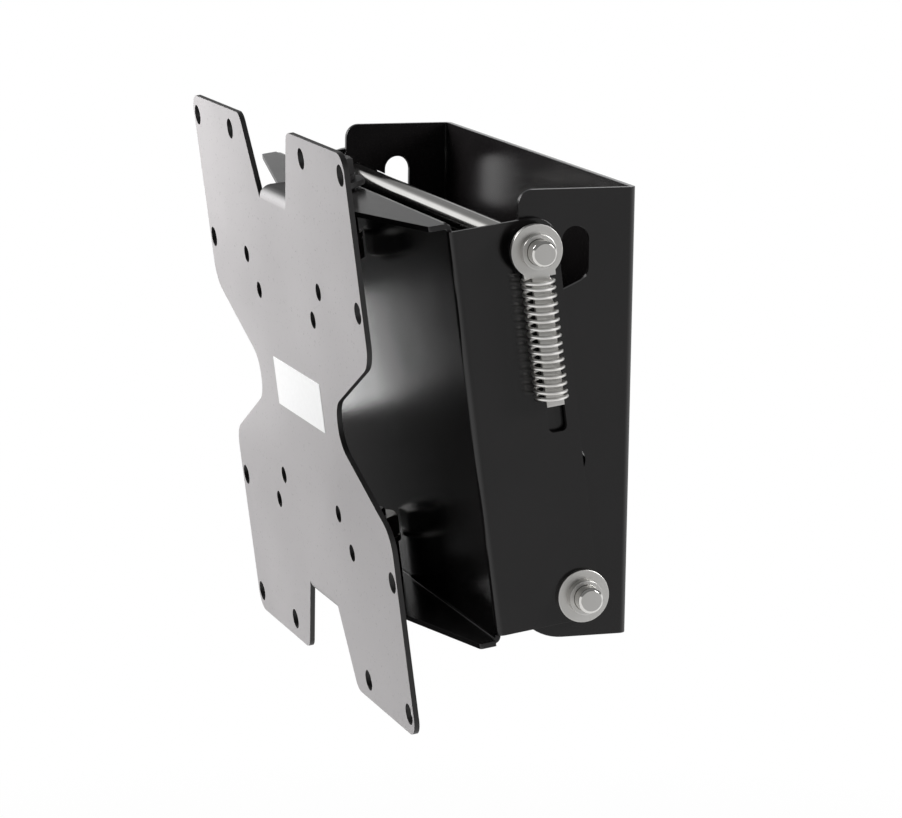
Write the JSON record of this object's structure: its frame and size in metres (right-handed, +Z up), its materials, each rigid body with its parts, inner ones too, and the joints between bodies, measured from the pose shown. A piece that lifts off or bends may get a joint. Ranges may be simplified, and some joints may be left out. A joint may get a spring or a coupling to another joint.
{
  "type": "tilt and swivel screen wall mount",
  "caption": "Wall mount for a flat screen: a wall channel, a tilting channel with a sprung latch rod, and a screen plate that swivels between two bolts.",
  "frame": {"origin": "centre of the wall channel's back face, on the wall", "axes": "+X along the wall to the right of someone who faces the wall, +Y into the wall, +Z up"},
  "size_m": [0.2534, 0.1105, 0.2141],
  "materials": {
    "black_steel": "black satin powder coat",
    "plate_steel": "grey powder coat with fine specks on the front, black on its edges and back",
    "black_fittings": "black coated steel",
    "bright_steel": "bright zinc",
    "spring_steel": "bright spring wire",
    "nylon": "dark nylon"
  },
  "bodies": {
    "wall": {"wall_bracket": "black_steel"},
    "tilt": {"tilt_bracket": "black_steel", "pivot_rod": "bright_steel", "pivot_washer_right": "bright_steel", "pivot_washer_left": "bright_steel", "pivot_collar_right": "bright_steel", "pivot_collar_left": "bright_steel", "pivot_nylon_washer_right": "nylon", "pivot_nylon_washer_left": "nylon", "latch_spring_right": "spring_steel", "latch_spring_left": "spring_steel", "swivel_bolt_top": "black_fittings", "swivel_bolt_bottom": "black_fittings", "swivel_head_washer_top": "black_fittings", "swivel_head_washer_bottom": "black_fittings", "swivel_nylon_washer_top": "nylon", "swivel_nylon_washer_bottom": "nylon", "swivel_hub_top": "black_fittings", "swivel_hub_bottom": "black_fittings", "swivel_washer_top": "bright_steel", "swivel_washer_bottom": "bright_steel", "swivel_nut_top": "bright_steel", "swivel_nut_bottom": "bright_steel"},
    "latch": {"latch_rod": "bright_steel", "latch_bush_right": "black_fittings", "latch_bush_left": "black_fittings", "latch_eye_right": "bright_steel", "latch_eye_left": "bright_steel", "latch_collar_right": "bright_steel", "latch_collar_left": "bright_steel"},
    "swivel": {"vesa_plate": "plate_steel"}
  },
  "joints": [
    {"name": "tilt", "type": "hinge", "parent": "wall", "child": "tilt", "pos_m": [0, -0.019, -0.0664], "axis": [1, 0, 0], "range_deg": [-8.1, 0]},
    {"name": "latch", "type": "slide", "parent": "tilt", "child": "latch", "axis": [0, 0.1409, -0.99], "range_m": [0, 0.0107], "stiffness_N_per_m": 900, "springref_m": -0.01, "deforming": ["latch_spring_right", "latch_spring_left"]},
    {"name": "swivel", "type": "hinge", "parent": "tilt", "child": "swivel", "pos_m": [0, -0.07185, -0.00736], "axis": [0, -0.1409, 0.99], "range_deg": [-12, 12]}
  ],
  "couplings": [
    {"joint": "latch", "follows": "tilt", "m_per_rad": -0.07215}
  ]
}
